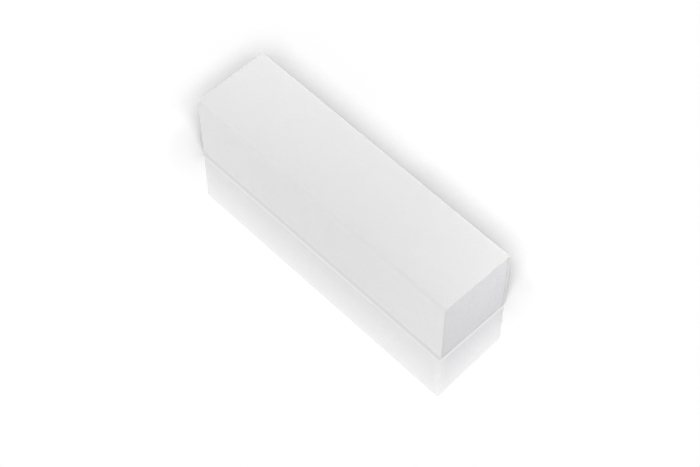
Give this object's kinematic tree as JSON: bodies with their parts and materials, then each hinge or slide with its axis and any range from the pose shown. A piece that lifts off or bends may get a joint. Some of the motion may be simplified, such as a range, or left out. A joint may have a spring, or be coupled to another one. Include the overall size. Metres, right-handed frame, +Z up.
{
  "type": "nail buffer block",
  "caption": "White four-sided nail buffer: a square foam bar wrapped in fine abrasive paper with rounded long edges and bare foam ends.",
  "frame": {"origin": "middle of the underside, the long face that the block lies on", "axes": "+X along the block, +Y across it towards the back face, +Z up"},
  "size_m": [0.095, 0.025, 0.025],
  "materials": {
    "foam": "matte closed-cell foam with fine cut cells",
    "adhesive": "clear cream contact adhesive, slightly glossy",
    "paper": "uncoated fibrous backing paper, matte",
    "grit": "fine white abrasive grains under a chalky anti-clog coat, matte"
  },
  "bodies": {
    "root": {"foam_core": "foam", "adhesive_film": "adhesive", "backing_paper": "paper", "grit_coat": "grit"}
  },
  "joints": []
}
